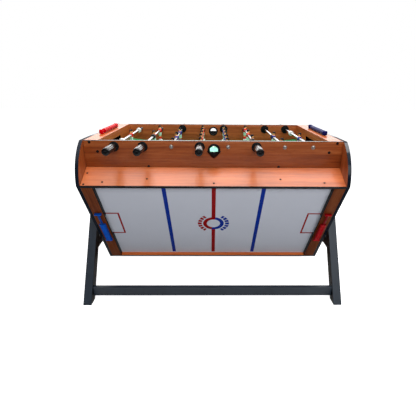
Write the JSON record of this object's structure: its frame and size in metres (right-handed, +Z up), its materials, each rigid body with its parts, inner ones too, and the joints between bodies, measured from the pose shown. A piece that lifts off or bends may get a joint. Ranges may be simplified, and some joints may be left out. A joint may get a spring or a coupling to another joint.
{
  "type": "multi game table",
  "caption": "Turning games table: a long body between two A-frames carries a football box with rods and men, a slide hockey box and a pool box, one on each of its faces.",
  "frame": {"origin": "middle of the footprint, on the floor", "axes": "+X along the table to the right as seen by a player at the front, +Y from the front to the back, +Z up; the pictured side faces -Y"},
  "size_m": [1.3946, 0.868, 0.8821],
  "materials": {
    "stand_paint": "slate grey paint, satin",
    "wood": "reddish brown wood-grain foil, satin",
    "pitch_green": "green pitch print with white lines, satin",
    "field_white": "white low-friction board with rink lines, gloss",
    "bed_cloth": "board covered in green cloth, matte",
    "black_plastic": "black, satin",
    "chrome_steel": "chromed steel, polished",
    "team_red": "red, gloss, on a chromed tube",
    "team_blue": "blue, gloss, on a chromed tube",
    "counter_red": "red, gloss",
    "counter_navy": "navy, gloss",
    "counter_blue": "blue, gloss"
  },
  "bodies": {
    "stand": {"leg_front_left": "stand_paint", "leg_front_right": "stand_paint", "leg_rear_left": "stand_paint", "leg_rear_right": "stand_paint", "crossbar_left": "stand_paint", "crossbar_right": "stand_paint", "stretcher_front": "stand_paint", "stretcher_rear": "stand_paint"},
    "lock_left": {"lock_knob_left": "black_plastic"},
    "lock_right": {"lock_knob_right": "black_plastic"},
    "table": {"end_panel_left": "wood", "end_panel_right": "wood", "football_wall_front": "wood", "football_wall_rear": "wood", "pitch": "pitch_green", "football_end_left": "wood", "football_end_right": "wood", "ball_cup_front": "black_plastic", "ball_cup_rear": "black_plastic", "hockey_wall_lower": "wood", "hockey_wall_upper": "wood", "hockey_field": "field_white", "hockey_end_left": "wood", "hockey_end_right": "wood", "pool_wall_lower": "wood", "pool_wall_upper": "wood", "pool_bed": "bed_cloth", "pool_rail_frame": "wood", "football_score_left_rail": "counter_red", "football_score_right_rail": "counter_navy", "hockey_score_left_rail": "counter_blue", "hockey_score_right_rail": "counter_red"},
    "inner_rod_1": {"inner_rod_1": "chrome_steel"},
    "rod_1": {"rod_1_tube_and_men": "team_red", "handle_1": "black_plastic"},
    "inner_rod_2": {"inner_rod_2": "chrome_steel"},
    "rod_2": {"rod_2_tube_and_men": "team_red", "handle_2": "black_plastic"},
    "inner_rod_3": {"inner_rod_3": "chrome_steel"},
    "rod_3": {"rod_3_tube_and_men": "team_blue", "handle_3": "black_plastic"},
    "inner_rod_4": {"inner_rod_4": "chrome_steel"},
    "rod_4": {"rod_4_tube_and_men": "team_red", "handle_4": "black_plastic"},
    "inner_rod_5": {"inner_rod_5": "chrome_steel"},
    "rod_5": {"rod_5_tube_and_men": "team_blue", "handle_5": "black_plastic"},
    "inner_rod_6": {"inner_rod_6": "chrome_steel"},
    "rod_6": {"rod_6_tube_and_men": "team_red", "handle_6": "black_plastic"},
    "inner_rod_7": {"inner_rod_7": "chrome_steel"},
    "rod_7": {"rod_7_tube_and_men": "team_blue", "handle_7": "black_plastic"},
    "inner_rod_8": {"inner_rod_8": "chrome_steel"},
    "rod_8": {"rod_8_tube_and_men": "team_blue", "handle_8": "black_plastic"},
    "football_score_left": {"football_score_left_beads": "counter_red"},
    "football_score_right": {"football_score_right_beads": "counter_navy"},
    "hockey_score_left": {"hockey_score_left_beads": "counter_blue"},
    "hockey_score_right": {"hockey_score_right_beads": "counter_red"}
  },
  "joints": [
    {"name": "table_turn", "type": "hinge", "parent": "stand", "child": "table", "pos_m": [0, 0, 0.558], "axis": [1, 0, 0], "continuous": true},
    {"name": "lock_left_release", "type": "slide", "parent": "stand", "child": "lock_left", "axis": [-1, 0, 0], "range_m": [0, 0.01]},
    {"name": "lock_right_release", "type": "slide", "parent": "stand", "child": "lock_right", "axis": [1, 0, 0], "range_m": [0, 0.01]},
    {"name": "rod_1_spin", "type": "hinge", "parent": "table", "child": "inner_rod_1", "pos_m": [-0.45644, 0, 0.83082], "axis": [0, 1, 0], "continuous": true},
    {"name": "rod_1_slide", "type": "slide", "parent": "inner_rod_1", "child": "rod_1", "axis": [0, -1, 0], "range_m": [-0.009, 0.1155]},
    {"name": "rod_2_spin", "type": "hinge", "parent": "table", "child": "inner_rod_2", "pos_m": [-0.32603, 0, 0.83082], "axis": [0, 1, 0], "continuous": true},
    {"name": "rod_2_slide", "type": "slide", "parent": "inner_rod_2", "child": "rod_2", "axis": [0, -1, 0], "range_m": [-0.009, 0.2607]},
    {"name": "rod_3_spin", "type": "hinge", "parent": "table", "child": "inner_rod_3", "pos_m": [-0.19562, 0, 0.83082], "axis": [0, 1, 0], "continuous": true},
    {"name": "rod_3_slide", "type": "slide", "parent": "inner_rod_3", "child": "rod_3", "axis": [0, 1, 0], "range_m": [-0.009, 0.1337]},
    {"name": "rod_4_spin", "type": "hinge", "parent": "table", "child": "inner_rod_4", "pos_m": [-0.06521, 0, 0.83082], "axis": [0, 1, 0], "continuous": true},
    {"name": "rod_4_slide", "type": "slide", "parent": "inner_rod_4", "child": "rod_4", "axis": [0, -1, 0], "range_m": [-0.009, 0.0457]},
    {"name": "rod_5_spin", "type": "hinge", "parent": "table", "child": "inner_rod_5", "pos_m": [0.06521, 0, 0.83082], "axis": [0, 1, 0], "continuous": true},
    {"name": "rod_5_slide", "type": "slide", "parent": "inner_rod_5", "child": "rod_5", "axis": [0, 1, 0], "range_m": [-0.009, 0.0457]},
    {"name": "rod_6_spin", "type": "hinge", "parent": "table", "child": "inner_rod_6", "pos_m": [0.19562, 0, 0.83082], "axis": [0, 1, 0], "continuous": true},
    {"name": "rod_6_slide", "type": "slide", "parent": "inner_rod_6", "child": "rod_6", "axis": [0, -1, 0], "range_m": [-0.009, 0.1337]},
    {"name": "rod_7_spin", "type": "hinge", "parent": "table", "child": "inner_rod_7", "pos_m": [0.32603, 0, 0.83082], "axis": [0, 1, 0], "continuous": true},
    {"name": "rod_7_slide", "type": "slide", "parent": "inner_rod_7", "child": "rod_7", "axis": [0, 1, 0], "range_m": [-0.009, 0.2777]},
    {"name": "rod_8_spin", "type": "hinge", "parent": "table", "child": "inner_rod_8", "pos_m": [0.45644, 0, 0.83082], "axis": [0, 1, 0], "continuous": true},
    {"name": "rod_8_slide", "type": "slide", "parent": "inner_rod_8", "child": "rod_8", "axis": [0, 1, 0], "range_m": [-0.009, 0.1475]},
    {"name": "football_score_left_slide", "type": "slide", "parent": "table", "child": "football_score_left", "axis": [0, -1, 0], "range_m": [0, 0.0264]},
    {"name": "football_score_right_slide", "type": "slide", "parent": "table", "child": "football_score_right", "axis": [0, 1, 0], "range_m": [0, 0.0264]},
    {"name": "hockey_score_left_slide", "type": "slide", "parent": "table", "child": "hockey_score_left", "axis": [0, -0.5, 0.866], "range_m": [0, 0.0784]},
    {"name": "hockey_score_right_slide", "type": "slide", "parent": "table", "child": "hockey_score_right", "axis": [0, -0.5, 0.866], "range_m": [0, 0.0784]}
  ]
}
